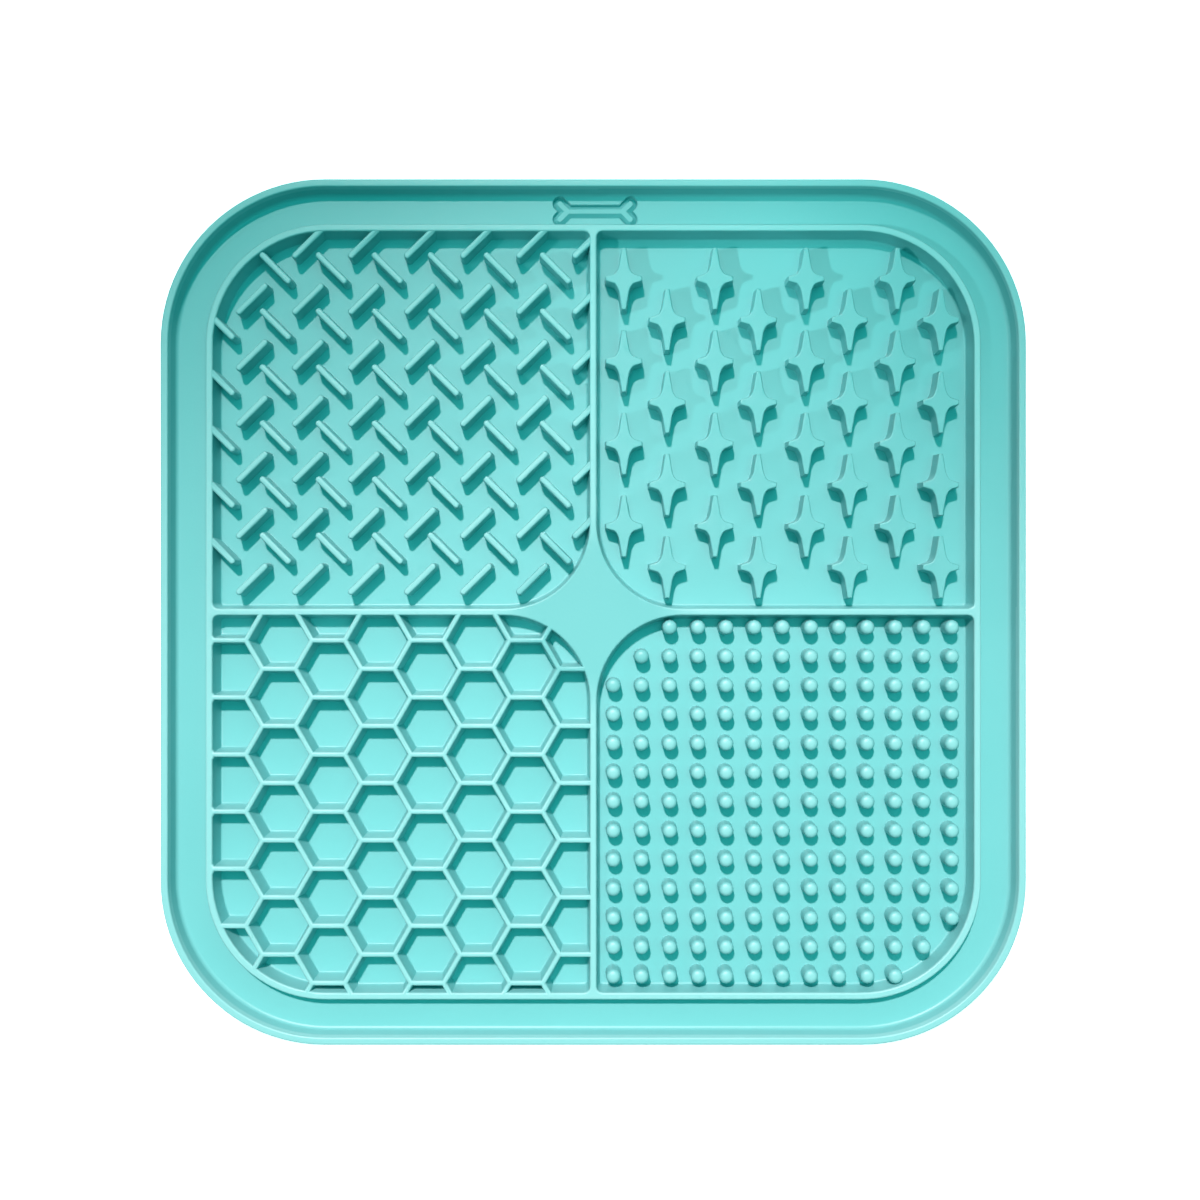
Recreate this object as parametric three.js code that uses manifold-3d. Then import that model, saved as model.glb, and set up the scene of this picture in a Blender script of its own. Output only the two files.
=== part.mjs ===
// A lick mat: one square moulding of silicone rubber that lies flat, with a raised lip, a border
// channel, an inner rim and four wells with a different raised pattern in each.
// Millimetres, +Z up. The origin is on the underside, below the middle of the mat, and +Y points
// to the side that carries the small bone emblem.

import * as THREE from 'three';
import { mergeVertices } from 'three/addons/utils/BufferGeometryUtils.js';
import Module from 'manifold-3d';

const wasm = await Module();
wasm.setup();

// Outline
const halfSide = 100;
const outlineRadius = 38;

// Heights above the underside
const wellFloor = 2.0;
const borderTop = 4.4;
const patternTop = 6.8;
const rimTop = 7.0;
const lipTop = 8.0;

// Rings, each given as its distance in from the outline
const lipInnerEdge = 1.5;
const lipInnerFoot = 2.9;
const rimOuterFoot = 9.5;
const rimOuterEdge = 10.2;
const rimInnerEdge = 11.6;

// Wells, one in each quadrant
const dividerWidth = 1.6;
const wellDraft = 0.9; // how far the wall leans in from its top edge to its foot
const landRadius = 20; // the rounding beside the middle, which leaves a four-pointed land there
const wellSideRadius = 1.2;

// Straight steps round a quarter of a corner
const smallCorner = 3; // the radius under which a corner counts as small
const smallCornerSteps = 2;
const largeCornerSteps = 8;

// What a cutter reaches past the face that it opens
const overlap = 1.0;

// Herringbone bars, each field given by the middle of its upper left bar
const barPitch = 12.95;
const barLength = 9.2; // between the middles of its round ends
const barTopWidth = 1.2;
const barFootWidth = 2.4;
const barWallGrip = 0.5; // how far a bar that meets the wall of the well reaches into it
const smallestBar = 12; // cubic millimetres, under which a clipped bar isn't moulded
const barFields = [
  { name: 'falling', x: -86.26, y: 79.5, lean: -44, columns: 7, rows: 6 },
  { name: 'rising', x: -78.97, y: 85.6, lean: 42, columns: 7, rows: 7 },
];

// Star studs, each field given by the middle of its lower left star
const starPitchX = 21.0;
const starPitchY = 19.15;
const starHalfWidth = 3.9;
const starHalfHeight = 6.4;
const starTipWidth = 0.7;
const starWaistX = 1.35; // the hollow of each side, from the middle of the star
const starWaistY = 1.6;
const starDraft = 0.55;
const starFields = [
  { name: 'even rows', x: 7.3, y: 19.6, columns: 4, rows: 4 },
  { name: 'odd rows', x: 17.3, y: 10.05, columns: 4, rows: 4 },
];

// Honeycomb cells
const cellPitch = 13.27; // across the flats, from wall middle to wall middle
const cellWall = 1.3;
const cellDraft = 0.7;
const firstCell = new THREE.Vector2(-84.44, 0.52);
const cellColumns = 8;
const cellRows = 8;
const smallestCell = 8; // cubic millimetres, under which a clipped cell is left solid

// Round dots
const dotPitchX = 6.45;
const dotPitchY = 6.68;
const dotTopRadius = 1.35;
const dotFootRadius = 1.95;
const dotSides = 6;
const dotCount = 13; // each way, before the rounded corners take some away
const dotClearance = 1.65; // from the middle of a dot to a rounded corner
const firstDot = new THREE.Vector2(4.9, -3.5);

// Bone emblem, a fine groove in the border
const boneCentre = new THREE.Vector2(0, 94.0);
const boneHalfLength = 8.1; // to the middles of the end lobes
const boneLobeRadius = 1.35;
const boneLobeRise = 1.45; // from the middle line to the middle of a lobe
const boneHalfShaft = 0.95;
const boneLineWidth = 0.7;
const boneDepth = 0.5;
const boneLobeDivisions = 2;

// Points that are nearer than this are one point, in an outline and in a mesh
const samePoint = 1e-3;
const weldDistance = 1e-5;

// Solid from a closed geometry, with its shared corners merged.
function solidOf(geometry) {
  const bare = geometry.clone();
  bare.deleteAttribute('normal');
  bare.deleteAttribute('uv');
  const merged = mergeVertices(bare, weldDistance);
  const mesh = new wasm.Mesh({
    numProp: 3,
    vertProperties: new Float32Array(merged.getAttribute('position').array),
    triVerts: new Uint32Array(merged.index.array),
  });
  return new wasm.Manifold(mesh);
}

// Geometry from a solid.
function geometryOf(solid) {
  const mesh = solid.getMesh();
  const geometry = new THREE.BufferGeometry();
  geometry.setAttribute('position', new THREE.BufferAttribute(mesh.vertProperties, 3));
  geometry.setIndex(new THREE.BufferAttribute(mesh.triVerts, 1));
  geometry.computeVertexNormals();
  return geometry;
}

// A block from the outline foot at the level bottom to the outline head at the level top. The two
// outlines have the same number of points, and point goes to point.
function block(foot, head, bottom, top) {
  const height = top - bottom;
  const outline = new THREE.Shape(foot);
  const geometry = new THREE.ExtrudeGeometry(outline, { depth: height, bevelEnabled: false });
  const position = geometry.getAttribute('position');
  for (let i = 0; i < position.count; i += 1) {
    if (position.getZ(i) > height / 2) {
      const below = new THREE.Vector2(position.getX(i), position.getY(i));
      const from = foot.findIndex((p) => p.distanceTo(below) < samePoint);
      position.setX(i, head[from].x);
      position.setY(i, head[from].y);
    }
  }
  geometry.translate(0, 0, bottom);
  return solidOf(geometry);
}

// A rectangle with its own radius at each corner, from the lower left one and anticlockwise.
function roundedRectangle(low, high, radii) {
  const corners = [
    { x: low.x, y: low.y, inX: 1, inY: 1 },
    { x: high.x, y: low.y, inX: -1, inY: 1 },
    { x: high.x, y: high.y, inX: -1, inY: -1 },
    { x: low.x, y: high.y, inX: 1, inY: -1 },
  ];
  return corners.flatMap((corner, index) => {
    const radius = radii[index];
    const steps = radius < smallCorner ? smallCornerSteps : largeCornerSteps;
    const centre = new THREE.Vector2(corner.x + corner.inX * radius, corner.y + corner.inY * radius);
    const points = [];
    for (let step = 0; step <= steps; step += 1) {
      const angle = Math.PI + ((index + step / steps) * Math.PI) / 2;
      const spoke = new THREE.Vector2(Math.cos(angle), Math.sin(angle));
      points.push(spoke.multiplyScalar(radius).add(centre));
    }
    return points;
  });
}

// A regular polygon with a corner at its right.
function polygon(sides, radius) {
  const points = [];
  for (let corner = 0; corner < sides; corner += 1) {
    const angle = (corner * 2 * Math.PI) / sides;
    points.push(new THREE.Vector2(radius * Math.cos(angle), radius * Math.sin(angle)));
  }
  return points;
}

function moved(points, centre, degrees = 0) {
  const middle = new THREE.Vector2(0, 0);
  const angle = THREE.MathUtils.degToRad(degrees);
  return points.map((p) => p.clone().rotateAround(middle, angle).add(centre));
}

function mirrored(points, signX, signY) {
  return points.map((p) => new THREE.Vector2(signX * p.x, signY * p.y));
}

// The mat's outline, drawn in by inset.
function ring(inset) {
  const corner = new THREE.Vector2(halfSide - inset, halfSide - inset);
  const radii = new Array(4).fill(outlineRadius - inset);
  return roundedRectangle(corner.clone().negate(), corner, radii);
}

// The plate with its lip, border and inner rim, before the wells are sunk in it.
function plate() {
  const lipSlope = (lipInnerFoot - lipInnerEdge) / (lipTop - borderTop);
  const above = lipInnerEdge - lipSlope * overlap;
  const blank = block(ring(0), ring(0), 0, lipTop);
  const channel = block(ring(lipInnerFoot), ring(above), borderTop, lipTop + overlap);
  const island = block(ring(rimOuterFoot), ring(rimOuterEdge), borderTop, rimTop);
  return blank.subtract(channel).add(island);
}

// The outline of the well in the quadrant that the two signs name, grown outwards by grow.
function wellOutline(signX, signY, grow) {
  const near = dividerWidth / 2 - grow;
  const far = halfSide - rimInnerEdge + grow;
  const outerRadius = outlineRadius - rimInnerEdge + grow;
  const radii = [landRadius + grow, wellSideRadius + grow, outerRadius, wellSideRadius + grow];
  const low = new THREE.Vector2(near, near);
  const high = new THREE.Vector2(far, far);
  return mirrored(roundedRectangle(low, high, radii), signX, signY);
}

// The space inside a well. Its walls go on at their slope to just above the rim.
function wellSpace(signX, signY) {
  const above = (wellDraft * overlap) / (rimTop - wellFloor);
  const foot = wellOutline(signX, signY, -wellDraft);
  return block(foot, wellOutline(signX, signY, above), wellFloor, rimTop + overlap);
}

// A bar's outline along X, with pointed ends.
function barOutline(width) {
  const half = width / 2;
  const end = barLength / 2;
  const right = [
    new THREE.Vector2(end, -half),
    new THREE.Vector2(end + half, 0),
    new THREE.Vector2(end, half),
  ];
  return [...right, ...mirrored(right, -1, -1)];
}

// The herringbone of the upper left well, clipped by its walls.
function herringbone() {
  const room = wellSpace(-1, 1);
  const grip = wellOutline(-1, 1, barWallGrip);
  const reach = block(grip, grip, 0, rimTop);
  const bars = [];
  for (const field of barFields) {
    for (let column = 0; column < field.columns; column += 1) {
      for (let row = 0; row < field.rows; row += 1) {
        const centre = new THREE.Vector2(field.x + column * barPitch, field.y - row * barPitch);
        const foot = moved(barOutline(barFootWidth), centre, field.lean);
        const head = moved(barOutline(barTopWidth), centre, field.lean);
        const bar = block(foot, head, wellFloor, patternTop);
        if (bar.intersect(room).volume() > smallestBar) bars.push(bar.intersect(reach));
      }
    }
  }
  return bars;
}

// A four-pointed star with hollow sides and blunt tips, grown outwards by grow.
function starOutline(grow) {
  const tip = starTipWidth / 2 + grow / 2;
  const quarter = [
    new THREE.Vector2(starHalfWidth + grow, tip),
    new THREE.Vector2(starWaistX + grow / 2, starWaistY + grow / 2),
    new THREE.Vector2(tip, starHalfHeight + grow),
  ];
  return [
    ...quarter,
    ...mirrored(quarter, -1, 1).reverse(),
    ...mirrored(quarter, -1, -1),
    ...mirrored(quarter, 1, -1).reverse(),
  ];
}

// The stars of the upper right well, in rows that are staggered by half a step.
function stars() {
  const studs = [];
  for (const field of starFields) {
    for (let column = 0; column < field.columns; column += 1) {
      for (let row = 0; row < field.rows; row += 1) {
        const centre = new THREE.Vector2(field.x + column * starPitchX, field.y + row * starPitchY);
        const foot = moved(starOutline(starDraft), centre);
        studs.push(block(foot, moved(starOutline(0), centre), wellFloor, patternTop));
      }
    }
  }
  return studs;
}

// The space inside one honeycomb cell, with the slope of its walls as in a well.
function cellSpace(centre) {
  const above = (cellDraft * overlap) / (rimTop - wellFloor);
  const halfFlats = (cellPitch - cellWall) / 2;
  const hexagon = (grow) => polygon(6, (halfFlats + grow) / Math.cos(Math.PI / 6));
  const foot = moved(hexagon(-cellDraft), centre);
  return block(foot, moved(hexagon(above), centre), wellFloor, rimTop + overlap);
}

// The cells of the lower left well, clipped by its walls.
function honeycomb() {
  const room = wellSpace(-1, -1);
  const columnPitch = (cellPitch * Math.sqrt(3)) / 2;
  const cells = [];
  for (let column = 0; column < cellColumns; column += 1) {
    const stagger = column % 2 === 0 ? 0 : cellPitch / 2;
    for (let row = 0; row < cellRows; row += 1) {
      const step = new THREE.Vector2(column * columnPitch, stagger - row * cellPitch);
      const cell = cellSpace(step.add(firstCell)).intersect(room);
      if (cell.volume() > smallestCell) cells.push(cell);
    }
  }
  return cells;
}

// True if a dot stands clear of the two large rounded corners of the lower right well.
function dotFits(centre) {
  const outerRadius = outlineRadius - rimInnerEdge;
  const land = dividerWidth / 2 + landRadius;
  const corner = halfSide - rimInnerEdge - outerRadius;
  const fromLand = Math.hypot(Math.min(centre.x - land, 0), Math.max(centre.y + land, 0));
  const fromCorner = Math.hypot(Math.max(centre.x - corner, 0), Math.min(centre.y + corner, 0));
  return fromLand + dotClearance < landRadius && fromCorner + dotClearance < outerRadius;
}

// The dots of the lower right well.
function dots() {
  const studs = [];
  for (let column = 0; column < dotCount; column += 1) {
    for (let row = 0; row < dotCount; row += 1) {
      const centre = new THREE.Vector2(column * dotPitchX, -row * dotPitchY).add(firstDot);
      if (dotFits(centre)) {
        const foot = moved(polygon(dotSides, dotFootRadius), centre);
        const head = moved(polygon(dotSides, dotTopRadius), centre);
        studs.push(block(foot, head, wellFloor, patternTop));
      }
    }
  }
  return studs;
}

// The outline of a bone: a shaft with two round lobes at each end, grown outwards by grow.
function boneOutline(grow) {
  const radius = boneLobeRadius + grow;
  const fromShaft = Math.PI + Math.asin((boneLobeRise - boneHalfShaft - grow) / radius);
  const toNotch = -Math.asin(Math.min(boneLobeRise / radius, 1));
  const lobe = new THREE.Path();
  lobe.absarc(boneHalfLength, boneLobeRise, radius, fromShaft, toNotch, true);
  const upperRight = lobe.getPoints(boneLobeDivisions);
  const points = [
    ...upperRight,
    ...mirrored(upperRight, 1, -1).reverse(),
    ...mirrored(upperRight, -1, -1),
    ...mirrored(upperRight, -1, 1).reverse(),
  ];
  return points.filter((p, i) => p.distanceTo(points[(i + 1) % points.length]) > samePoint);
}

// The groove that draws the bone in the border.
function boneGroove() {
  const bottom = borderTop - boneDepth;
  const around = moved(boneOutline(boneLineWidth / 2), boneCentre);
  const within = moved(boneOutline(-boneLineWidth / 2), boneCentre);
  const outside = block(around, around, bottom, borderTop + overlap);
  const inside = block(within, within, bottom - overlap, borderTop + 2 * overlap);
  return outside.subtract(inside);
}

const wells = [wellSpace(-1, 1), wellSpace(1, 1), wellSpace(1, -1), ...honeycomb()];
const pattern = [...herringbone(), ...stars(), ...dots()];
const moulding = plate()
  .subtract(wasm.Manifold.union(wells))
  .add(wasm.Manifold.union(pattern))
  .subtract(boneGroove());

const silicone = new THREE.MeshStandardMaterial({
  color: 0x6fd6d4,
  roughness: 0.55,
  metalness: 0,
});

const mat = new THREE.Mesh(geometryOf(moulding), silicone);
mat.name = 'mat';

const lickMat = new THREE.Group();
lickMat.add(mat);

export default lickMat;
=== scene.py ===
"""A lick mat of moulded silicone rubber that lies flat on a pale studio floor.

The mat is one moulding: a plate with a raised lip, a border channel and an inner rim, and four
wells with herringbone bars, four-pointed stars, honeycomb cells and round dots. Its shapes are
drawn in millimetres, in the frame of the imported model, and the finished mesh is scaled to metres.
The origin is on the underside, below the middle, and +Y points to the side with the bone emblem.
"""

import logging
import math
from collections.abc import Iterable, Sequence
from dataclasses import dataclass
from enum import Enum

import bmesh
import bpy
from mathutils import Matrix, Vector


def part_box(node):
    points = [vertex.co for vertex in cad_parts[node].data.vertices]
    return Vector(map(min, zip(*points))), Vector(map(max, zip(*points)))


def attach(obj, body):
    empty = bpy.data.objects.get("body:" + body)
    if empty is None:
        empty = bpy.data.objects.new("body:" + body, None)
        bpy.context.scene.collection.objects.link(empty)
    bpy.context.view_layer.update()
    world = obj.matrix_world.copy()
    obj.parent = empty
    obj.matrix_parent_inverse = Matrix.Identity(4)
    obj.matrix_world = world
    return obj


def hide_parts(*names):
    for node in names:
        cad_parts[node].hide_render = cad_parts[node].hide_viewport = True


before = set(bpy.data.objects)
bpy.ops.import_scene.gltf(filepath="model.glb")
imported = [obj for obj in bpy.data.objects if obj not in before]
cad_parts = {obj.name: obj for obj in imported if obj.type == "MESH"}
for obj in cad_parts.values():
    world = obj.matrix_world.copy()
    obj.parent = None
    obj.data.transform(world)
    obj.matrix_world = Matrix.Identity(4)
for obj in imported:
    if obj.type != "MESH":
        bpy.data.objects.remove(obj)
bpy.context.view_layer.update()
_, MAT_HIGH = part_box("mat")

MM = 0.001

# Directions on a section, and turns, in degrees.
INWARDS = 0
UP = 90
OUTWARDS = 180
DOWN = 270
HALF_TURN = 180
FULL_TURN = 360

log = logging.getLogger("lick_mat")

Profile = list[tuple[float, float]]


class Boolean(Enum):
    """How a solid takes another one."""

    ADD = "UNION"
    CUT = "DIFFERENCE"
    CLIP = "INTERSECT"


class CornerSize(Enum):
    """How the size of a rounded corner is given."""

    LENGTH = "OFFSET"
    PERCENTAGE = "PERCENT"


class Growth(Enum):
    """Which way a section runs from the flat outline that it starts from."""

    RISE = "rise"
    SINK = "sink"


@dataclass(frozen=True)
class Levels:
    """Heights above the underside.

    They are those of the CAD part, but for the border, which lies 0.5 mm lower.
    """

    lip: float = MAT_HIGH[2] / MM
    rim: float = 7.0
    pattern: float = 6.8
    border: float = 3.9
    well_floor: float = 2.0


LEVELS = Levels()


def arc(centre: tuple[float, float], radius: float, start: float, end: float, steps: int) -> Profile:
    """Points on an arc of a section, its two ends included.

    Args:
        centre: Inset and height of the arc's middle.
        radius: Radius of the arc.
        start: Direction of the first point from the middle, in degrees.
        end: Direction of the last point, in degrees.
        steps: Straight steps along the arc.

    Returns:
        The points as pairs of inset and height.
    """
    points = []
    for step in range(steps + 1):
        angle = math.radians(start + (end - start) * step / steps)
        points.append((centre[0] + radius * math.cos(angle), centre[1] + radius * math.sin(angle)))
    return points


class Shape:
    """A bmesh that grows from one flat outline by rings."""

    WELD = 1e-4
    STRAIGHT_UP = 1e-5
    CIRCULAR = 0.5
    SAME_MATERIAL = -1

    def __init__(self) -> None:
        """Start with an empty bmesh."""
        self.bm = bmesh.new()
        self.start: bmesh.types.BMFace | None = None
        self.end: bmesh.types.BMFace | None = None

    def outline(self, corners: Sequence[tuple[float, float]], level: float) -> None:
        """Lay the flat face that the rings grow from.

        Args:
            corners: Its corners, anticlockwise.
            level: Its height.
        """
        verts = [self.bm.verts.new((x, y, level)) for x, y in corners]
        self.start = self.bm.faces.new(verts)
        self.end = self.start

    def circle(self, radius: float, sides: int, level: float, turn: float = 0.0) -> None:
        """Lay a regular polygon as the flat face that the rings grow from.

        Args:
            radius: Radius of its corners.
            sides: How many sides it has.
            level: Its height.
            turn: Angle in degrees by which its first corner is turned from +Y.
        """
        place = Matrix.Translation((0, 0, level)) @ Matrix.Rotation(math.radians(turn), 4, "Z")
        bmesh.ops.create_circle(self.bm, cap_ends=True, segments=sides, radius=radius, matrix=place)
        self.note_face()

    def rod(self, length: float, radius: float, sides: int, level: float) -> None:
        """Lay an outline along X with round ends as the flat face that the rings grow from.

        Args:
            length: Distance between the middles of its round ends.
            radius: Radius of the ends.
            sides: How many sides the two ends have together.
            level: Its height.
        """
        self.circle(radius, sides, level, HALF_TURN / sides)
        for side in (-1, 1):
            end = [vert for vert in self.bm.verts if vert.co.x * side > 0]
            bmesh.ops.translate(self.bm, verts=end, vec=(side * length / 2, 0, 0))

    def round_corner(
        self,
        near: tuple[float, float],
        size: float,
        steps: int,
        measure: CornerSize = CornerSize.LENGTH,
    ) -> None:
        """Round the corner of the flat outline that lies nearest to a point.

        Args:
            near: The point.
            size: How much of both sides the rounding takes. As a length it is the radius of a
                right-angled corner.
            steps: Straight steps round the corner.
            measure: Whether the size is a length or a percentage of each side.
        """
        goal = Vector((near[0], near[1], 0))
        corner = min(self.bm.verts, key=lambda vert: (vert.co.xy - goal.xy).length)
        bmesh.ops.bevel(
            self.bm,
            geom=[corner],
            offset=size,
            offset_type=measure.value,
            segments=steps,
            profile=self.CIRCULAR,
            affect="VERTICES",
            material=self.SAME_MATERIAL,
        )
        self.note_face()

    def note_face(self) -> None:
        """Take the only face as the outline that the rings grow from."""
        self.bm.faces.ensure_lookup_table()
        self.start = self.bm.faces[0]
        self.end = self.start

    def move(self, matrix: Matrix) -> None:
        """Move, turn or mirror everything made so far.

        Args:
            matrix: The transform.
        """
        bmesh.ops.transform(self.bm, matrix=matrix, verts=self.bm.verts[:])

    def raise_block(self, height: float) -> None:
        """Give the flat outline a thickness, so that it is a closed block.

        Args:
            height: How far its second face lies above it.
        """
        grown = bmesh.ops.extrude_face_region(self.bm, geom=[self.start], use_keep_orig=True)
        self.end = next(part for part in grown["geom"] if isinstance(part, bmesh.types.BMFace))
        bmesh.ops.translate(self.bm, verts=self.end.verts[:], vec=(0, 0, height))

    def rings(self, face: bmesh.types.BMFace, profile: Profile) -> None:
        """Draw a face in and along Z by a ring for each step of a section.

        Args:
            face: The face, whose edge lies at the section's first point.
            profile: Pairs of inset and height. An inset never gets smaller.
        """
        for (inset, level), (next_inset, next_level) in zip(profile, profile[1:]):
            if next_inset - inset < self.STRAIGHT_UP:
                grown = bmesh.ops.extrude_face_region(self.bm, geom=[face])
                face = next(part for part in grown["geom"] if isinstance(part, bmesh.types.BMFace))
            else:
                bmesh.ops.inset_region(
                    self.bm,
                    faces=[face],
                    thickness=next_inset - inset,
                    use_even_offset=True,
                    use_boundary=True,
                )
            bmesh.ops.translate(self.bm, verts=face.verts[:], vec=(0, 0, next_level - level))

    def stud(self, profile: Profile) -> None:
        """Raise a closed stud from the flat outline.

        Args:
            profile: Its section from the outline upwards.
        """
        self.raise_block(0.0)
        self.rings(self.end, profile)

    def pocket(self, profile: Profile, headroom: float) -> None:
        """Sink a closed cutter below the flat outline.

        Args:
            profile: Its section from the outline downwards.
            headroom: How far the cutter also reaches above the outline.
        """
        self.raise_block(headroom)
        self.rings(self.start, profile)

    def close(self) -> bmesh.types.BMesh:
        """Merge doubles and turn all faces outwards.

        Returns:
            The finished bmesh.
        """
        bmesh.ops.remove_doubles(self.bm, verts=self.bm.verts[:], dist=self.WELD)
        bmesh.ops.recalc_face_normals(self.bm, faces=self.bm.faces[:])
        return self.bm


class Solid:
    """A closed mesh in the making, which takes other solids by boolean steps."""

    def __init__(self, name: str, shape: bmesh.types.BMesh) -> None:
        """Make an object of a bmesh, which is freed.

        Args:
            name: Name of the object.
            shape: The closed bmesh.
        """
        mesh = bpy.data.meshes.new(name)
        shape.to_mesh(mesh)
        shape.free()
        self.object = bpy.data.objects.new(name, mesh)
        bpy.context.scene.collection.objects.link(self.object)

    def take(self, other: "Solid", how: Boolean) -> None:
        """Join, cut or clip this solid with another one, which is used up.

        Args:
            other: The other solid.
            how: What is done with it.
        """
        modifier = self.object.modifiers.new(how.name.lower(), "BOOLEAN")
        modifier.operation = how.value
        modifier.solver = "MANIFOLD"
        modifier.object = other.object
        evaluated = self.object.evaluated_get(bpy.context.evaluated_depsgraph_get())
        combined = bpy.data.meshes.new_from_object(evaluated)
        self.object.modifiers.clear()
        used = self.object.data
        self.object.data = combined
        bpy.data.meshes.remove(used)
        other.discard()

    def discard(self) -> None:
        """Remove the object and its mesh."""
        bpy.data.meshes.remove(self.object.data)

    def drop_crumbs(self, smallest: float) -> int:
        """Delete each separate piece under a volume.

        Args:
            smallest: The volume in cubic millimetres.

        Returns:
            How many pieces are left.
        """
        shape = bmesh.new()
        shape.from_mesh(self.object.data)
        kept = 0
        for piece in islands(shape):
            if enclosed_volume(piece) < smallest:
                bmesh.ops.delete(shape, geom=list(piece), context="FACES")
            else:
                kept += 1
        shape.to_mesh(self.object.data)
        shape.free()
        return kept


def islands(shape: bmesh.types.BMesh) -> list[set[bmesh.types.BMFace]]:
    """Group the faces of a bmesh by what hangs together.

    Args:
        shape: The bmesh.

    Returns:
        One set of faces for each separate piece.
    """
    groups = []
    waiting = set(shape.faces)
    while waiting:
        front = [waiting.pop()]
        group = set(front)
        while front:
            face = front.pop()
            neighbours = {other for edge in face.edges for other in edge.link_faces} & waiting
            waiting -= neighbours
            group |= neighbours
            front.extend(neighbours)
        groups.append(group)
    return groups


def enclosed_volume(faces: Iterable[bmesh.types.BMFace]) -> float:
    """Work out the volume inside closed faces, as the sum of pyramids from the origin.

    Args:
        faces: The faces, all pointing outwards.

    Returns:
        The volume.
    """
    total = 0.0
    for face in faces:
        total += face.calc_center_median().dot(face.normal) * face.calc_area() / 3
    return total


def scatter(name: str, template: bmesh.types.BMesh, places: Iterable[Matrix]) -> Solid:
    """Repeat a shape at many places, as one solid.

    Args:
        name: Name of the solid.
        template: The shape, which is freed.
        places: A transform for each copy.

    Returns:
        The solid.
    """
    mesh = bpy.data.meshes.new(name)
    template.to_mesh(mesh)
    template.free()
    crowd = bmesh.new()
    for place in places:
        before = len(crowd.verts)
        crowd.from_mesh(mesh)
        bmesh.ops.transform(crowd, matrix=place, verts=crowd.verts[:][before:])
    bpy.data.meshes.remove(mesh)
    return Solid(name, crowd)


@dataclass
class Tray:
    """The plate with its outer lip, the border channel and the island for the wells.

    Its leans are in degrees: by so much its arcs stop short of the upright.
    """

    # The lip reaches this far past the CAD part's, as the photograph shows it.
    past_cad: float = 0.25
    corner_radius: float = 38.0
    corner_steps: int = 24
    underside_radius: float = 0.6
    underside_steps: int = 3
    lip_outer_radius: float = 0.5
    lip_inner_radius: float = 0.4
    lip_crest: float = 0.9
    lip_lean: float = 10.0
    lip_draft: float = 0.6
    lip_foot_radius: float = 1.0
    lip_foot_steps: int = 5
    foot_lean: float = 8.0
    rim_outer_edge: float = 10.2
    rim_draft: float = 0.2
    rim_lean: float = 5.0
    rim_foot_radius: float = 0.6
    rim_edge_radius: float = 0.45
    edge_steps: int = 4

    def lip_profile(self) -> Profile:
        """Draw the section from the outer wall over the lip and the border to the island's top.

        Returns:
            Pairs of inset and height, with inset 0 at the outer wall.
        """
        outer = self.lip_outer_radius
        inner = self.lip_inner_radius
        crest = outer + self.lip_crest
        foot = crest + inner + self.lip_draft
        toe = self.lip_foot_radius
        rim_toe = self.rim_foot_radius
        rim_wall = self.rim_outer_edge - self.rim_draft
        edge = self.rim_edge_radius
        toe_end = FULL_TURN - self.foot_lean
        return [
            *arc((outer, LEVELS.lip - outer), outer, OUTWARDS, UP, self.edge_steps),
            *arc((crest, LEVELS.lip - inner), inner, UP, self.lip_lean, self.edge_steps),
            *arc(
                (foot + toe, LEVELS.border + toe),
                toe,
                OUTWARDS + self.foot_lean,
                DOWN,
                self.lip_foot_steps,
            ),
            *arc(
                (rim_wall - rim_toe, LEVELS.border + rim_toe),
                rim_toe,
                DOWN,
                toe_end,
                self.edge_steps,
            ),
            *arc(
                (self.rim_outer_edge + edge, LEVELS.rim - edge),
                edge,
                OUTWARDS - self.rim_lean,
                UP,
                self.edge_steps,
            ),
        ]

    def underside_profile(self) -> Profile:
        """Draw the section round the lower edge of the outer wall."""
        radius = self.underside_radius
        return arc((radius, radius), radius, OUTWARDS, DOWN, self.underside_steps)

    def build(self) -> Solid:
        """Build the plate.

        Returns:
            The closed solid, with no wells in it.
        """
        half = MAT_HIGH[0] / MM + self.past_cad
        corners = [(-half, -half), (half, -half), (half, half), (-half, half)]
        shape = Shape()
        shape.outline(corners, self.underside_radius)
        for corner in corners:
            shape.round_corner(corner, self.corner_radius, self.corner_steps)
        shape.raise_block(LEVELS.lip - self.lip_outer_radius - self.underside_radius)
        shape.rings(shape.end, self.lip_profile())
        shape.rings(shape.start, self.underside_profile())
        return Solid("tray", shape.close())


@dataclass(frozen=True)
class PocketWall:
    """The wall of a pocket, with a rounded upper edge, a straight stretch and a filleted foot.

    Its leans are in degrees: by so much its arcs stop short of the upright.
    """

    edge_radius: float
    draft: float
    foot_radius: float
    edge_lean: float = 5.0
    foot_lean: float = 7.0
    steps: int = 3

    def profile(self) -> Profile:
        """Draw its section from the top down to the floor of the wells.

        Returns:
            Pairs of inset and height, with inset 0 at the upper edge before it is rounded.
        """
        edge = self.edge_radius
        foot = self.foot_radius
        toe = self.draft + foot
        floor = LEVELS.well_floor + foot
        return [
            *arc((-edge, LEVELS.rim - edge), edge, UP, self.edge_lean, self.steps),
            *arc((toe, floor), foot, OUTWARDS + self.foot_lean, DOWN, self.steps),
        ]


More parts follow.
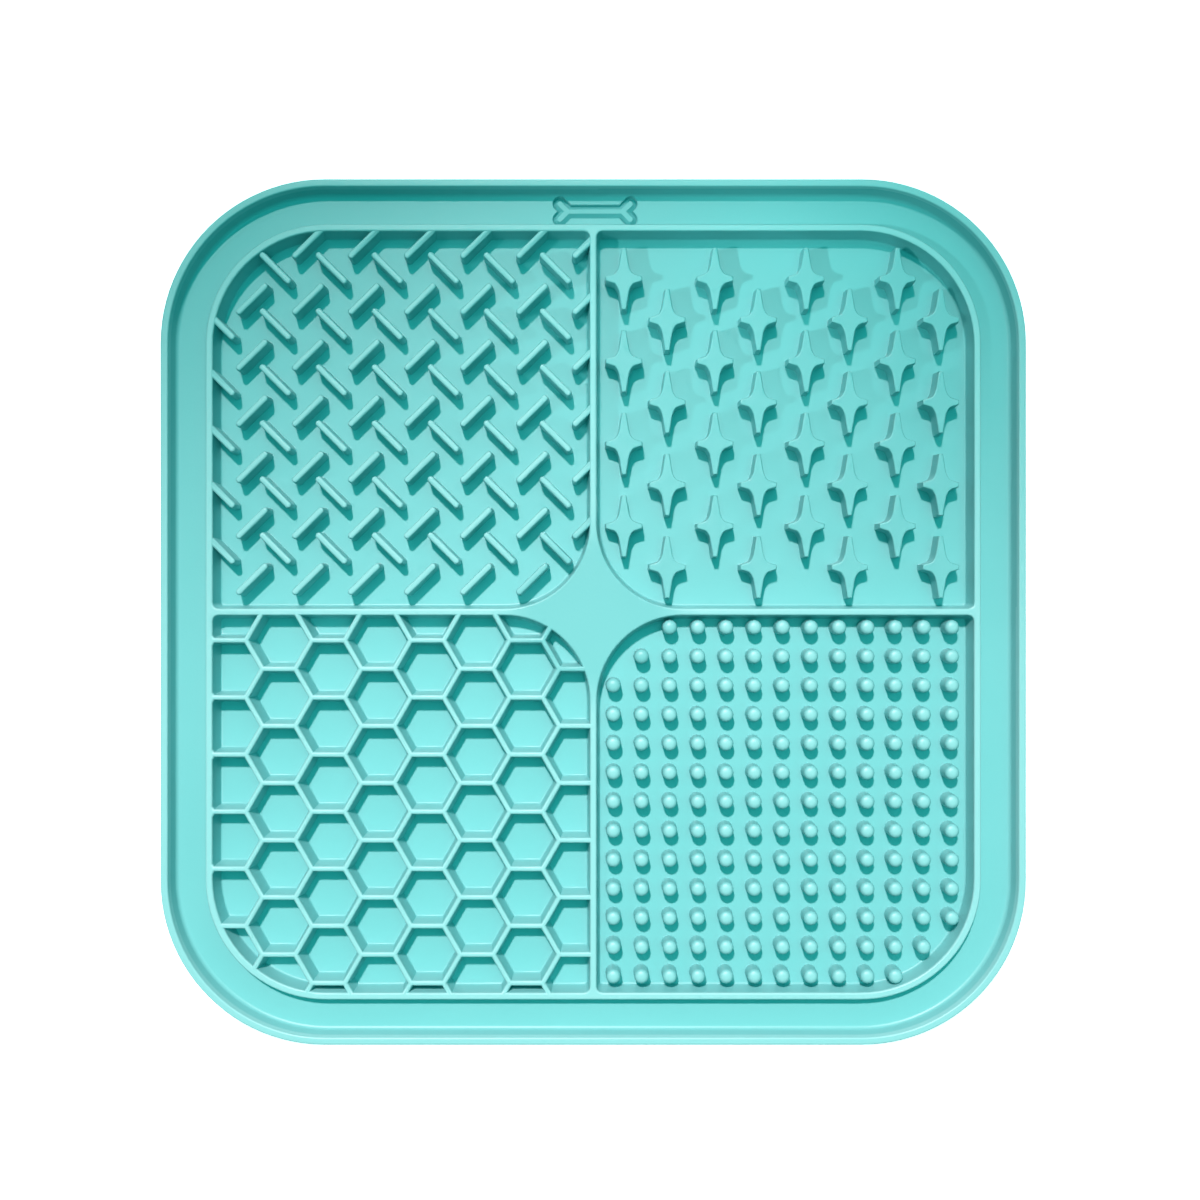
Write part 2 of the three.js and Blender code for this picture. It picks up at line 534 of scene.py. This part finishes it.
@dataclass(frozen=True)
class StudWall:
    """The side of a raised piece, with a filleted foot, a straight stretch and a rounded top.

    Its leans are in degrees: by so much its arcs stop short of the upright.
    """

    foot_radius: float
    draft: float
    edge_radius: float
    foot_lean: float = 8.0
    edge_lean: float = 6.0
    foot_steps: int = 2
    edge_steps: int = 3

    def profile(self) -> Profile:
        """Draw its section from the floor of the wells up to the top of the patterns.

        Returns:
            Pairs of inset and height, with inset 0 at the fillet's outer edge.
        """
        foot = self.foot_radius
        edge = self.edge_radius
        floor = LEVELS.well_floor + foot
        top = foot + self.draft + edge
        crown = LEVELS.pattern - edge
        return [
            *arc((0.0, floor), foot, DOWN - FULL_TURN, -self.foot_lean, self.foot_steps),
            *arc((top, crown), edge, OUTWARDS - self.edge_lean, UP, self.edge_steps),
        ]


@dataclass
class Well:
    """The space inside one of the four wells, in the quadrant that its two signs name."""

    sign_x: int
    sign_y: int
    divider: float = 1.6
    far_edge: float = 88.4
    outer_radius: float = 26.4
    land_radius: float = 20.0
    side_radius: float = 1.3
    large_steps: int = 18
    small_steps: int = 3
    wall: PocketWall = PocketWall(edge_radius=0.45, draft=0.55, foot_radius=0.5)
    headroom: float = 1.0

    def outline(self, grow: float, level: float) -> Shape:
        """Lay the outline of the well.

        Args:
            grow: How far it is grown outwards from the wall's upper edge.
            level: Its height.

        Returns:
            A shape that holds just the outline.
        """
        near = self.divider / 2 - grow
        far = self.far_edge + grow
        corners = [
            (near, near, self.land_radius, self.large_steps),
            (far, near, self.side_radius, self.small_steps),
            (far, far, self.outer_radius, self.large_steps),
            (near, far, self.side_radius, self.small_steps),
        ]
        shape = Shape()
        shape.outline([(x, y) for x, y, _, _ in corners], level)
        for x, y, radius, steps in corners:
            shape.round_corner((x, y), radius + grow, steps)
        shape.move(Matrix.Diagonal((self.sign_x, self.sign_y, 1, 1)))
        return shape

    def space(self) -> Solid:
        """Build the cutter that sinks the well.

        Returns:
            The closed solid, with a rounded upper edge and a filleted floor.
        """
        shape = self.outline(self.wall.edge_radius, LEVELS.rim)
        shape.pocket(self.wall.profile(), self.headroom)
        return Solid("well", shape.close())

    def reach(self, grip: float) -> Solid:
        """Build the block that bars are clipped with.

        Args:
            grip: How far it reaches into the wall of the well.

        Returns:
            The closed solid.
        """
        shape = self.outline(grip, 0.0)
        shape.raise_block(LEVELS.rim)
        return Solid("reach", shape.close())


@dataclass(frozen=True)
class BarField:
    """A straight grid of bars that lean the same way, which starts at its upper left bar."""

    x: float
    y: float
    lean: float
    rows: int


@dataclass
class Herringbone:
    """Short round-topped bars, falling and rising in turn, clipped by the walls of their well."""

    pitch: float = 13.03
    length: float = 8.3
    foot_width: float = 2.15
    side: StudWall = StudWall(foot_radius=0.12, draft=0.15, edge_radius=0.5)
    end_sides: int = 12
    grip: float = 0.5
    smallest: float = 18.0
    columns: int = 7
    falling: BarField = BarField(x=-86.95, y=79.95, lean=-45.0, rows=6)
    rising: BarField = BarField(x=-79.38, y=85.8, lean=44.5, rows=7)

    def bar(self) -> bmesh.types.BMesh:
        """Build one bar.

        Returns:
            The closed bmesh, along X, its middle above the origin.
        """
        shape = Shape()
        shape.rod(self.length, self.foot_width / 2, self.end_sides, LEVELS.well_floor)
        shape.stud(self.side.profile())
        return shape.close()

    def build(self, well: Well) -> list[Solid]:
        """Build the two fields of bars.

        Args:
            well: The well that they stand in.

        Returns:
            The falling bars and the rising ones.
        """
        fields = []
        for field in (self.falling, self.rising):
            turn = Matrix.Rotation(math.radians(field.lean), 4, "Z")
            places = [
                Matrix.Translation((field.x + column * self.pitch, field.y - row * self.pitch, 0)) @ turn
                for column in range(self.columns)
                for row in range(field.rows)
            ]
            bars = scatter("bars", self.bar(), places)
            bars.take(well.reach(self.grip), Boolean.CLIP)
            log.info("bars in a field: %d", bars.drop_crumbs(self.smallest))
            fields.append(bars)
        return fields


@dataclass
class Stars:
    """Four-pointed stars with hollow sides, in rows that are staggered by half a step."""

    pitch_x: float = 21.19
    pitch_y: float = 19.17
    foot_half_width: float = 4.5
    foot_half_height: float = 7.45
    foot_tip: float = 0.74
    foot_waist_x: float = 1.7
    foot_waist_y: float = 1.6
    hollow_percentage: float = 30.0
    hollow_steps: int = 5
    side: StudWall = StudWall(foot_radius=0.12, draft=0.15, edge_radius=0.35)
    columns: int = 4
    rows: int = 4
    even: tuple[float, float] = (7.13, 19.95)
    odd: tuple[float, float] = (17.2, 10.4)

    def star(self) -> bmesh.types.BMesh:
        """Build one star.

        Returns:
            The closed bmesh, its middle above the origin.
        """
        quarter = [
            (self.foot_half_width, self.foot_tip),
            (self.foot_waist_x, self.foot_waist_y),
            (self.foot_tip, self.foot_half_height),
        ]
        corners = [
            *quarter,
            *[(-x, y) for x, y in reversed(quarter)],
            *[(-x, -y) for x, y in quarter],
            *[(x, -y) for x, y in reversed(quarter)],
        ]
        shape = Shape()
        shape.outline(corners, LEVELS.well_floor)
        for sign_x in (-1, 1):
            for sign_y in (-1, 1):
                waist = (sign_x * self.foot_waist_x, sign_y * self.foot_waist_y)
                shape.round_corner(waist, self.hollow_percentage, self.hollow_steps, CornerSize.PERCENTAGE)
        shape.stud(self.side.profile())
        return shape.close()

    def build(self) -> Solid:
        """Build all the stars.

        Returns:
            The closed solid.
        """
        places = [
            Matrix.Translation((x + column * self.pitch_x, y + row * self.pitch_y, 0))
            for x, y in (self.even, self.odd)
            for column in range(self.columns)
            for row in range(self.rows)
        ]
        return scatter("stars", self.star(), places)


@dataclass
class Honeycomb:
    """Hexagonal pockets, cut short by the walls of their well."""

    pitch: float = 13.27
    divider: float = 1.25
    sides: int = 6
    wall: PocketWall = PocketWall(edge_radius=0.52, draft=0.5, foot_radius=0.45)
    headroom: float = 1.0
    smallest: float = 12.0
    columns: int = 8
    rows: int = 8
    first: tuple[float, float] = (-84.53, 0.04)

    def cell(self) -> bmesh.types.BMesh:
        """Build the cutter of one cell.

        Returns:
            The closed bmesh, its middle above the origin.
        """
        half_width = (self.pitch - self.divider) / 2 + self.wall.edge_radius
        shape = Shape()
        shape.circle(
            half_width / math.cos(math.pi / self.sides),
            self.sides,
            LEVELS.rim,
            HALF_TURN / self.sides,
        )
        shape.pocket(self.wall.profile(), self.headroom)
        return shape.close()

    def build(self, well: Well) -> Solid:
        """Build the cutter of all cells.

        Args:
            well: The well that they fill.

        Returns:
            The closed solid.
        """
        column_pitch = self.pitch * math.sqrt(3) / 2
        x, y = self.first
        places = [
            Matrix.Translation(
                (x + column * column_pitch, y + (column % 2) * self.pitch / 2 - row * self.pitch, 0)
            )
            for column in range(self.columns)
            for row in range(self.rows)
        ]
        cells = scatter("cells", self.cell(), places)
        cells.take(well.space(), Boolean.CLIP)
        log.info("honeycomb cells: %d", cells.drop_crumbs(self.smallest))
        return cells


@dataclass
class Dots:
    """Round studs with domed tops, in straight rows."""

    pitch_x: float = 6.57
    pitch_y: float = 6.77
    foot_radius: float = 1.92
    fillet: float = 0.1
    draft: float = 0.07
    dome_height: float = 1.0
    dome_steps: int = 4
    crown_radius: float = 0.5
    sides: int = 12
    count: int = 13
    clearance: float = 1.65
    first: tuple[float, float] = (4.66, -3.6)

    def dot(self) -> bmesh.types.BMesh:
        """Build one dot.

        Returns:
            The closed bmesh, its middle above the origin.
        """
        shoulder = self.fillet + self.draft
        spring = LEVELS.pattern - self.dome_height
        run = self.foot_radius - shoulder - self.crown_radius
        dome = [
            (shoulder + run * (1 - inset), spring + self.dome_height * rise)
            for inset, rise in arc((0, 0), 1, INWARDS, UP, self.dome_steps)
        ]
        profile = [
            (0.0, LEVELS.well_floor),
            (self.fillet, LEVELS.well_floor + self.fillet),
            *dome,
        ]
        shape = Shape()
        shape.circle(self.foot_radius, self.sides, LEVELS.well_floor)
        shape.stud(profile)
        return shape.close()

    def fits(self, x: float, y: float, well: Well) -> bool:
        """Tell whether a dot stands clear of the large rounded corners of its well.

        Args:
            x: Its middle's X.
            y: Its middle's Y.
            well: The well.

        Returns:
            Whether it does.
        """
        land = well.divider / 2 + well.land_radius
        corner = well.far_edge - well.outer_radius
        from_land = math.hypot(min(x - land, 0), max(y + land, 0))
        from_corner = math.hypot(max(x - corner, 0), min(y + corner, 0))
        land_room = well.land_radius - from_land
        return min(land_room, well.outer_radius - from_corner) > self.clearance

    def build(self, well: Well) -> Solid:
        """Build all the dots.

        Args:
            well: The well that they stand in.

        Returns:
            The closed solid.
        """
        grid = [
            (self.first[0] + column * self.pitch_x, self.first[1] - row * self.pitch_y)
            for column in range(self.count)
            for row in range(self.count)
        ]
        places = [Matrix.Translation((x, y, 0)) for x, y in grid if self.fits(x, y, well)]
        log.info("dots: %d", len(places))
        return scatter("dots", self.dot(), places)


@dataclass
class BoneGroove:
    """The bone emblem, a groove in the border round a shaft with two round lobes at each end.

    The groove's outer wall is steep, and its inner side slopes up gently to the border's level.
    """

    middle_x: float = 0.4
    middle_y: float = 93.85
    half_length: float = 10.0
    half_height: float = 3.55
    half_shaft: float = 1.65
    lobe_radius: float = 1.75
    lobe_sides: int = 20
    neck: float = 1.8
    wall_width: float = 0.25
    line_width: float = 1.15
    depth: float = 1.0
    headroom: float = 1.0
    root: float = 0.6

    def pieces(self, level: float, profile: Profile, growth: Growth) -> Solid:
        """Build the shaft and the lobes, joined.

        Args:
            level: Height of the flat outline that each piece starts from.
            profile: The section of each piece.
            growth: Which way the section runs.

        Returns:
            The closed solid.
        """
        lobe_x = self.half_length - self.lobe_radius
        lobe_y = self.half_height - self.lobe_radius
        reach = math.hypot(self.neck, lobe_y)
        lean = math.atan2(lobe_y, self.neck)
        shaft = (lobe_x - self.neck) * 2
        bone = self.rod(shaft, self.half_shaft, level, profile, growth, Matrix())
        for sign_x in (-1, 1):
            for sign_y in (-1, 1):
                place = (
                    Matrix.Diagonal((sign_x, sign_y, 1, 1))
                    @ Matrix.Translation((lobe_x - self.neck / 2, lobe_y / 2, 0))
                    @ Matrix.Rotation(lean, 4, "Z")
                )
                lobe = self.rod(reach, self.lobe_radius, level, profile, growth, place)
                bone.take(lobe, Boolean.ADD)
        return bone

    def rod(
        self,
        length: float,
        radius: float,
        level: float,
        profile: Profile,
        growth: Growth,
        place: Matrix,
    ) -> Solid:
        """Build a piece with round ends.

        Args:
            length: Distance between the middles of its round ends, along X before it is placed.
            radius: Radius of the ends.
            level: Height of the flat outline that it starts from.
            profile: Its section.
            growth: Which way the section runs.
            place: Where it lies, seen from the middle of the bone.

        Returns:
            The closed solid.
        """
        shape = Shape()
        shape.rod(length, radius, self.lobe_sides, level)
        if growth is Growth.RISE:
            shape.stud(profile)
        else:
            shape.pocket(profile, self.headroom)
        shape.move(Matrix.Translation((self.middle_x, self.middle_y, 0)) @ place)
        return Solid("rod", shape.close())

    def hollow(self) -> Solid:
        """Build the cutter that sinks the whole bone.

        Returns:
            The closed solid.
        """
        bottom = LEVELS.border - self.depth
        wall = [(0.0, LEVELS.border), (self.wall_width, bottom)]
        return self.pieces(LEVELS.border, wall, Growth.SINK)

    def island(self) -> Solid:
        """Build the block that fills the hollow again inside its groove.

        Returns:
            The closed solid, which is rooted in the tray.
        """
        bottom = LEVELS.border - self.depth
        foot = bottom - self.root
        slope = [(0.0, foot), (self.wall_width, bottom), (self.line_width, LEVELS.border)]
        return self.pieces(foot, slope, Growth.RISE)


# The sRGB curve: straight in the darkest tones, and a power curve above them.
SRGB_LEVELS = 255
SRGB_STRAIGHT_END = 0.04045
SRGB_STRAIGHT_SLOPE = 12.92
SRGB_OFFSET = 0.055
SRGB_POWER = 2.4


def linear(hex_colour: str) -> tuple[float, float, float, float]:
    """Turn an sRGB hex colour to linear light.

    Args:
        hex_colour: The colour, such as "#2BA6A1".

    Returns:
        Red, green, blue and an alpha of 1.
    """
    channels = []
    for start in (1, 3, 5):
        value = int(hex_colour[start:start + 2], 16) / SRGB_LEVELS
        if value <= SRGB_STRAIGHT_END:
            channels.append(value / SRGB_STRAIGHT_SLOPE)
        else:
            channels.append(((value + SRGB_OFFSET) / (1 + SRGB_OFFSET)) ** SRGB_POWER)
    return (channels[0], channels[1], channels[2], 1.0)


def add_node(
    tree: bpy.types.NodeTree,
    kind: str,
    settings: dict[str, object] | None = None,
    inputs: dict[str | int, object] | None = None,
) -> bpy.types.Node:
    """Add a node with its settings and links.

    Args:
        tree: The node tree.
        kind: The node's type.
        settings: Properties of the node, by name.
        inputs: A value, or an output to link, for each input socket, by name or by its number
            among those in use.

    Returns:
        The node.
    """
    node = tree.nodes.new(kind)
    for name, value in (settings or {}).items():
        setattr(node, name, value)
    for name, value in (inputs or {}).items():
        enabled = [each for each in node.inputs if each.enabled]
        if isinstance(name, int):
            socket = enabled[name]
        else:
            socket = next(each for each in enabled if each.name == name)
        if isinstance(value, bpy.types.NodeSocket):
            tree.links.new(value, socket)
        else:
            socket.default_value = value
    return node


def result(node: bpy.types.Node) -> bpy.types.NodeSocket:
    """Return the one output of a node that is in use."""
    return next(each for each in node.outputs if each.enabled)


@dataclass(frozen=True)
class MouldedSilicone:
    """Silicone rubber as pressed in a finely eroded steel mould.

    The pigment gives a deep turquoise in shade, and the skin a broad satin sheen that turns the
    flats pale. On the lip, ridges, rims and dot tops a paler colour is mixed in, a painted highlight
    for the light that they catch from all sides; the stars and the flat land in the middle get none.
    Heights and widths are in millimetres.
    """

    name: str = "moulded_silicone_rubber"
    body: str = "#74BBBD"
    pale: str = "#79C0C2"
    # Painted highlight: the paler colour of the lip, ridges, rims and dot tops.
    crest: str = "#96CFD1"
    # Where the painted highlight is laid: by height, less among the stars, most of it on the lip, none on
    # the land.
    painted_highlight_from: float = 6.2
    painted_highlight_to: float = 7.0
    star_painted_highlight_from: float = 6.82
    star_painted_highlight_to: float = 6.95
    star_field_edge: float = 1.2
    lip_from: float = 7.02
    lip_to: float = 7.1
    lip_painted_highlight_share: float = 0.9
    land_inside: float = 13.0
    land_outside: float = 26.0
    ior: float = 1.5
    roughness: float = 0.42
    roughness_spread: float = 0.05
    # The pigment is mixed unevenly over a few centimetres.
    cloud_size: float = 28.0
    cloud_detail: float = 3.0
    # The grain of eroded steel is about 0.1 mm. It is drawn coarser, so that it shows at all.
    grain_size: float = 0.55
    grain_detail: float = 2.0
    grain_depth: float = 0.012

    def painted_highlight_share(
        self,
        tree: bpy.types.NodeTree,
        in_mm: bpy.types.NodeSocket,
    ) -> bpy.types.NodeSocket:
        """Add the nodes that tell how much of the painted highlight a place has.

        Args:
            tree: The node tree.
            in_mm: Object coordinates in millimetres.

        Returns:
            The share, from 0 on the floors to 1 on the ridges.
        """
        split = add_node(tree, "ShaderNodeSeparateXYZ", inputs={"Vector": in_mm})
        in_plan = add_node(
            tree,
            "ShaderNodeCombineXYZ",
            inputs={"X": split.outputs["X"], "Y": split.outputs["Y"]},
        )
        from_middle = add_node(
            tree,
            "ShaderNodeVectorMath",
            settings={"operation": "LENGTH"},
            inputs={"Vector": in_plan.outputs["Vector"]},
        )
        off_land = add_node(
            tree,
            "ShaderNodeMapRange",
            settings={"interpolation_type": "SMOOTHSTEP"},
            inputs={
                "Value": result(from_middle),
                "From Min": self.land_inside,
                "From Max": self.land_outside,
            },
        )
        nearer_side = add_node(
            tree,
            "ShaderNodeMath",
            settings={"operation": "MINIMUM"},
            inputs={0: split.outputs["X"], 1: split.outputs["Y"]},
        )
        among_stars = add_node(
            tree,
            "ShaderNodeMath",
            settings={"operation": "GREATER_THAN"},
            inputs={0: result(nearer_side), 1: self.star_field_edge},
        )
        lowest = add_node(
            tree,
            "ShaderNodeMix",
            inputs={"Factor": result(among_stars), "A": self.painted_highlight_from, "B": self.star_painted_highlight_from},
        )
        highest = add_node(
            tree,
            "ShaderNodeMix",
            inputs={"Factor": result(among_stars), "A": self.painted_highlight_to, "B": self.star_painted_highlight_to},
        )
        by_height = add_node(
            tree,
            "ShaderNodeMapRange",
            settings={"interpolation_type": "SMOOTHSTEP"},
            inputs={
                "Value": split.outputs["Z"],
                "From Min": result(lowest),
                "From Max": result(highest),
                "To Max": result(off_land),
            },
        )
        # The lip takes most of the painted highlight as well.
        with_lip = add_node(
            tree,
            "ShaderNodeMapRange",
            inputs={
                "Value": split.outputs["Z"],
                "From Min": self.lip_from,
                "From Max": self.lip_to,
                "To Min": result(by_height),
                "To Max": self.lip_painted_highlight_share,
            },
        )
        return result(with_lip)

    def material(self) -> bpy.types.Material:
        """Build the material.

        Returns:
            The material, with its pattern in Object coordinates.
        """
        material = bpy.data.materials.new(self.name)
        material.use_nodes = True
        tree = material.node_tree
        tree.nodes.clear()
        place = add_node(tree, "ShaderNodeTexCoord")
        in_mm = add_node(
            tree,
            "ShaderNodeMapping",
            inputs={"Vector": place.outputs["Object"], "Scale": (1 / MM, 1 / MM, 1 / MM)},
        )
        cloud = add_node(
            tree,
            "ShaderNodeTexNoise",
            inputs={
                "Vector": in_mm.outputs["Vector"],
                "Scale": 1 / self.cloud_size,
                "Detail": self.cloud_detail,
            },
        )
        grain = add_node(
            tree,
            "ShaderNodeTexNoise",
            inputs={
                "Vector": in_mm.outputs["Vector"],
                "Scale": 1 / self.grain_size,
                "Detail": self.grain_detail,
            },
        )
        tone = add_node(
            tree,
            "ShaderNodeMix",
            settings={"data_type": "RGBA"},
            inputs={"Factor": result(cloud), "A": linear(self.body), "B": linear(self.pale)},
        )
        # Painted highlight: the paler colour mixed over the pigment on the lip, ridges, rims and dot tops.
        with_painted_highlight = add_node(
            tree,
            "ShaderNodeMix",
            settings={"data_type": "RGBA"},
            inputs={
                "Factor": self.painted_highlight_share(tree, in_mm.outputs["Vector"]),
                "A": result(tone),
                "B": linear(self.crest),
            },
        )
        satin = add_node(
            tree,
            "ShaderNodeMapRange",
            inputs={
                "Value": result(cloud),
                "To Min": self.roughness - self.roughness_spread,
                "To Max": self.roughness + self.roughness_spread,
            },
        )
        skin = add_node(
            tree,
            "ShaderNodeBump",
            inputs={"Height": result(grain), "Strength": 1.0, "Distance": self.grain_depth * MM},
        )
        shader = add_node(
            tree,
            "ShaderNodeBsdfPrincipled",
            inputs={
                "Base Color": result(with_painted_highlight),
                "Roughness": result(satin),
                "Normal": skin.outputs["Normal"],
                "IOR": self.ior,
            },
        )
        add_node(tree, "ShaderNodeOutputMaterial", inputs={"Surface": shader.outputs["BSDF"]})
        return material


@dataclass
class Moulding:
    """The whole mat: the tray with its wells, patterns and emblem, joined into one skin.

    Its flat width, which is not used, is in metres, and its crease, past which an edge stays sharp, in
    degrees.
    """

    flat_width: float = 0.2
    crease: float = 38.0

    def build(self) -> Solid:
        """Join the tray, the wells and the patterns.

        Returns:
            The closed solid, in millimetres.
        """
        mat = Tray().build()
        bone = BoneGroove()
        upper_left = Well(-1, 1)
        upper_right = Well(1, 1)
        lower_left = Well(-1, -1)
        lower_right = Well(1, -1)
        for cutter in (
            upper_left.space(),
            upper_right.space(),
            lower_right.space(),
            Honeycomb().build(lower_left),
            bone.hollow(),
        ):
            mat.take(cutter, Boolean.CUT)
        for studs in (
            *Herringbone().build(upper_left),
            Stars().build(),
            Dots().build(lower_right),
            bone.island(),
        ):
            mat.take(studs, Boolean.ADD)
        return mat

    def dress(self, solid: Solid, finish: MouldedSilicone) -> bpy.types.Object:
        """Scale the solid to metres, give it its finish and tie it to the frame.

        Args:
            solid: The closed solid in millimetres.
            finish: What it is made of.

        Returns:
            The finished piece.
        """
        piece = solid.object
        piece.name = "silicone_moulding"
        mesh = piece.data
        mesh.transform(Matrix.Scale(MM, 4))
        mesh.materials.clear()
        mesh.materials.append(finish.material())
        mesh.shade_smooth()
        mesh.set_sharp_from_angle(angle=math.radians(self.crease))
        normals = piece.modifiers.new("weighted_normals", "WEIGHTED_NORMAL")
        normals.keep_sharp = True
        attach(piece, "root")
        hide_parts("mat")
        return piece


@dataclass
class StudioFloor:
    """A plain floor of white board that glows evenly, so that no shadow shows round the mat.

    Its half side is in metres.
    """

    half_side: float = 4.0
    colour: str = "#F2F2F2"
    glow_colour: str = "#FFFFFF"
    glow: float = 1.0
    roughness: float = 0.9

    def build(self) -> bpy.types.Object:
        """Build the floor.

        Returns:
            The floor.
        """
        shape = bmesh.new()
        bmesh.ops.create_grid(shape, x_segments=1, y_segments=1, size=self.half_side)
        mesh = bpy.data.meshes.new("studio_floor")
        shape.to_mesh(mesh)
        shape.free()
        floor = bpy.data.objects.new("studio_floor", mesh)
        bpy.context.scene.collection.objects.link(floor)
        material = bpy.data.materials.new("glowing_white_board")
        material.use_nodes = True
        tree = material.node_tree
        tree.nodes.clear()
        shader = add_node(
            tree,
            "ShaderNodeBsdfPrincipled",
            inputs={
                "Base Color": linear(self.colour),
                "Roughness": self.roughness,
                "Emission Color": linear(self.glow_colour),
                "Emission Strength": self.glow,
            },
        )
        add_node(tree, "ShaderNodeOutputMaterial", inputs={"Surface": shader.outputs["BSDF"]})
        mesh.materials.append(material)
        return floor


def direction(azimuth: float, elevation: float) -> Vector:
    """Unit vector from the middle of the mat towards a place round it.

    Args:
        azimuth: Angle in degrees from the -Y side towards +X.
        elevation: Angle in degrees above the floor.

    Returns:
        The vector.
    """
    turn = math.radians(azimuth)
    rise = math.radians(elevation)
    level = math.cos(rise)
    return Vector((math.sin(turn) * level, -math.cos(turn) * level, math.sin(rise)))


@dataclass
class StudioSpot:
    """A spot lamp with a soft rim that points at a place on the floor.

    Its distance and radius are in metres, its cone in degrees and its aim in millimetres.
    """

    name: str
    azimuth: float
    elevation: float
    distance: float
    radius: float
    watts: float
    cone: float
    blend: float
    aim: tuple[float, float]
    colour: str

    def build(self) -> bpy.types.Object:
        """Build the lamp.

        Returns:
            The lamp, with azimuth 0 on the -Y side and 90 on the +X side.
        """
        lamp = bpy.data.lights.new(self.name, "SPOT")
        lamp.shadow_soft_size = self.radius
        lamp.energy = self.watts
        lamp.spot_size = math.radians(self.cone)
        lamp.spot_blend = self.blend
        lamp.color = linear(self.colour)[:3]
        holder = bpy.data.objects.new(self.name, lamp)
        bpy.context.scene.collection.objects.link(holder)
        holder.location = direction(self.azimuth, self.elevation) * self.distance
        target = Vector((self.aim[0] * MM, self.aim[1] * MM, 0))
        holder.rotation_euler = (holder.location - target).to_track_quat("Z", "Y").to_euler()
        return holder


# The two key lamps stand at one place behind the mat, and together they make the light fall off
# towards its upper left: the first slowly, the second by a soft edge near the upper rim. The side
# lamp casts the second, weaker shadows among the stars.
STUDIO_LAMPS = (
    StudioSpot(
        name="key_wide",
        azimuth=193.6,
        elevation=58.3,
        distance=2.2,
        radius=0.07,
        watts=87.0,
        cone=13.0,
        blend=1.0,
        aim=(18.0, -134.0),
        colour="#E8FFFF",
    ),
    StudioSpot(
        name="key_near",
        azimuth=193.6,
        elevation=58.3,
        distance=2.2,
        radius=0.07,
        watts=203.0,
        cone=15.3,
        blend=0.17,
        aim=(18.0, -271.0),
        colour="#FFD4D4",
    ),
    StudioSpot(
        name="side_lamp",
        azimuth=282.0,
        elevation=43.0,
        distance=1.2,
        radius=0.035,
        watts=36.0,
        cone=4.0,
        blend=0.6,
        aim=(45.0, 85.0),
        colour="#C8F4F2",
    ),
)


@dataclass
class PhotoCamera:
    """A camera close above the mat that looks straight down, so that all inner walls show.

    All its sizes are in millimetres. The frame's width is measured at the frame's level.
    """

    height: float = 310.0
    frame_width: float = 278.1
    frame_level: float = 7.4
    right_of_middle: float = 1.56
    above_middle: float = 2.78

    def build(self) -> bpy.types.Object:
        """Build the camera and make it the scene's.

        Returns:
            The camera.
        """
        data = bpy.data.cameras.new("photo_camera")
        data.lens = data.sensor_width * (self.height - self.frame_level) / self.frame_width
        camera = bpy.data.objects.new("photo_camera", data)
        camera.location = Vector((self.right_of_middle, self.above_middle, self.height)) * MM
        bpy.context.scene.collection.objects.link(camera)
        bpy.context.scene.camera = camera
        return camera


@dataclass(frozen=True)
class Surroundings:
    """Turquoise walls and ceiling, which keep the shade on the mat as deep as in the photograph.

    They are brightest overhead, a little towards +X and +Y, so that the shade on the flats is
    lighter than on the walls, and never darker than a low glow.
    """

    colour: str = "#50FFF5"
    strength: float = 1.65
    sharpness: float = 4.0
    least: float = 0.4
    lean: tuple[float, float, float] = (0.12, 0.14, 0.98)

    def build(self) -> None:
        """Surround the scene and show it in plain sRGB."""
        world = bpy.data.worlds.new("studio_walls")
        world.use_nodes = True
        tree = world.node_tree
        tree.nodes.clear()
        place = add_node(tree, "ShaderNodeTexCoord")
        along = add_node(
            tree,
            "ShaderNodeVectorMath",
            settings={"operation": "DOT_PRODUCT"},
            inputs={0: place.outputs["Generated"], 1: self.lean},
        )
        above = add_node(
            tree,
            "ShaderNodeMath",
            settings={"operation": "MAXIMUM"},
            inputs={0: result(along), 1: self.least},
        )
        narrowed = add_node(
            tree,
            "ShaderNodeMath",
            settings={"operation": "POWER"},
            inputs={0: result(above), 1: self.sharpness},
        )
        strength = add_node(
            tree,
            "ShaderNodeMath",
            settings={"operation": "MULTIPLY"},
            inputs={0: result(narrowed), 1: self.strength},
        )
        walls = add_node(
            tree,
            "ShaderNodeBackground",
            inputs={"Color": linear(self.colour), "Strength": result(strength)},
        )
        add_node(tree, "ShaderNodeOutputWorld", inputs={"Surface": walls.outputs["Background"]})
        bpy.context.scene.world = world
        bpy.context.scene.view_settings.view_transform = "Standard"


def main() -> None:
    """Build the camera, the mat, the floor and the lights, and report each piece."""
    logging.basicConfig(level=logging.INFO, format="%(message)s")
    PhotoCamera().build()
    moulding = Moulding()
    piece = moulding.dress(moulding.build(), MouldedSilicone())
    log.info("%s: %d faces", piece.name, len(piece.data.polygons))
    StudioFloor().build()
    for lamp in STUDIO_LAMPS:
        lamp.build()
    Surroundings().build()


if __name__ == "__main__":
    main()
